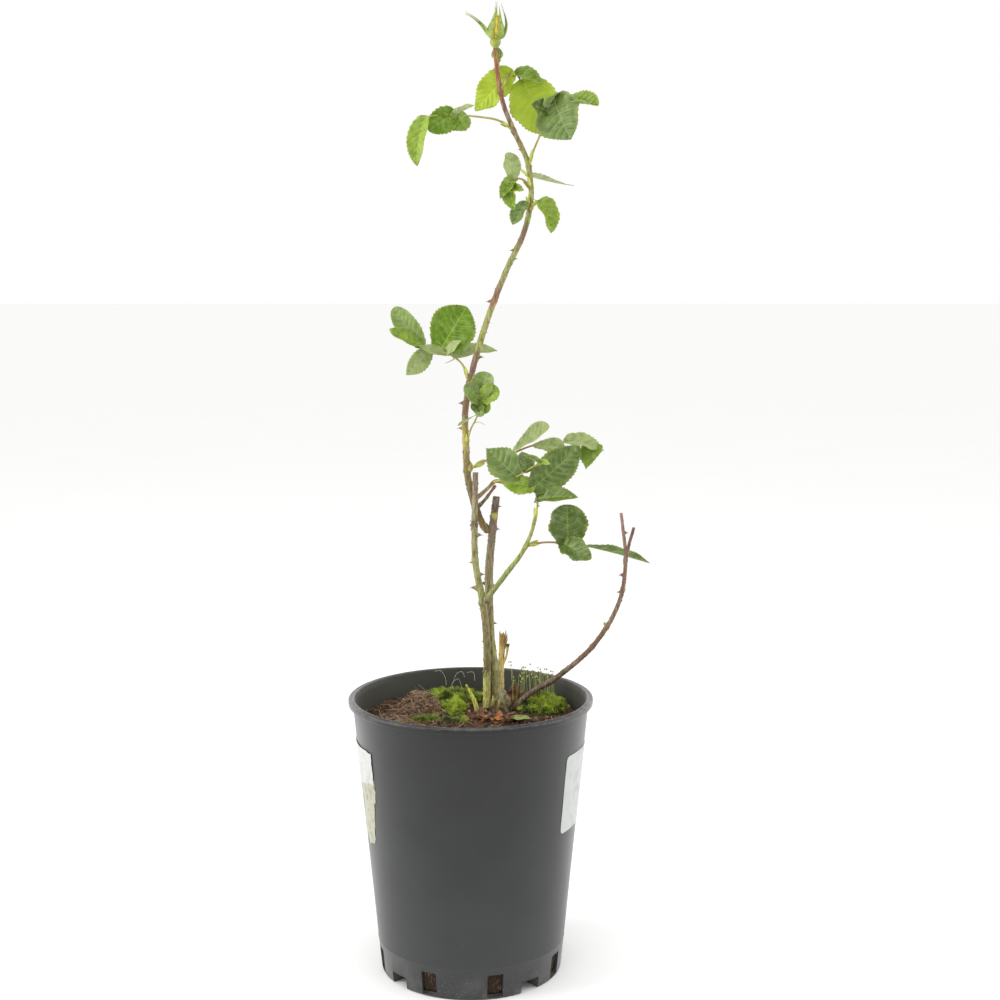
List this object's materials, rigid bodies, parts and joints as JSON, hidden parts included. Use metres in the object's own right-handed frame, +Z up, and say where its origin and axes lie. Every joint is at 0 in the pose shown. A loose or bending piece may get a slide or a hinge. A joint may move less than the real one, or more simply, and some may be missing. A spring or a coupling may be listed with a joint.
{
  "type": "potted rose bush",
  "caption": "Young rose bush with thorny canes, toothed leaflets and a bud at its tip, growing in a tapered plastic nursery pot.",
  "frame": {"origin": "the point on the ground under the pot's axis, in the flat middle of the pot's underside", "axes": "+Z up along the pot's axis, +X to the right and +Y to the back as seen from the plant's front"},
  "size_m": [0.247, 0.2, 0.7817],
  "materials": {
    "pot_plastic": "satin anthracite, dusty near the foot",
    "soil": "crumbly moist compost",
    "green_bark": "smooth green bark with brown patches and reddish thorns",
    "brown_bark": "dark purple-brown bark",
    "dead_wood": "dry ochre wood",
    "leaves": "satin green above, pale and matt below",
    "buds": "satin yellow-green",
    "moss": "soft matt moss",
    "dry_leaves": "dry and matt",
    "label_paper": "plain satin label film"
  },
  "bodies": {
    "root": {"pot": "pot_plastic", "soil": "soil", "crown": "green_bark", "left_cane": "green_bark", "middle_cane": "green_bark", "tall_shoot_lower": "green_bark", "tall_shoot_upper": "green_bark", "green_shoot": "green_bark", "brown_cane_lower": "brown_bark", "brown_cane_upper": "brown_bark", "upper_twig": "green_bark", "lower_twig": "green_bark", "dead_stub": "dead_wood", "yellow_stub": "green_bark", "top_leaf": "leaves", "upper_right_leaf": "leaves", "upper_left_leaf": "leaves", "middle_left_leaf": "leaves", "small_left_leaf": "leaves", "small_back_leaf": "leaves", "small_right_leaf": "leaves", "left_leaf": "leaves", "front_leaf": "leaves", "right_leaf": "leaves", "twig_leaf": "leaves", "shoot_leaf": "leaves", "low_right_leaf": "leaves", "top_bud": "buds", "small_bud": "buds", "moss_right": "moss", "moss_back": "moss", "moss_left": "moss", "moss_front": "moss", "moss_near": "moss", "fallen_leaf_brown": "dry_leaves", "fallen_leaf_orange": "dry_leaves", "fallen_leaf_green": "leaves", "fallen_leaf_back": "dry_leaves", "sticker": "label_paper", "torn_label": "label_paper"}
  },
  "joints": []
}
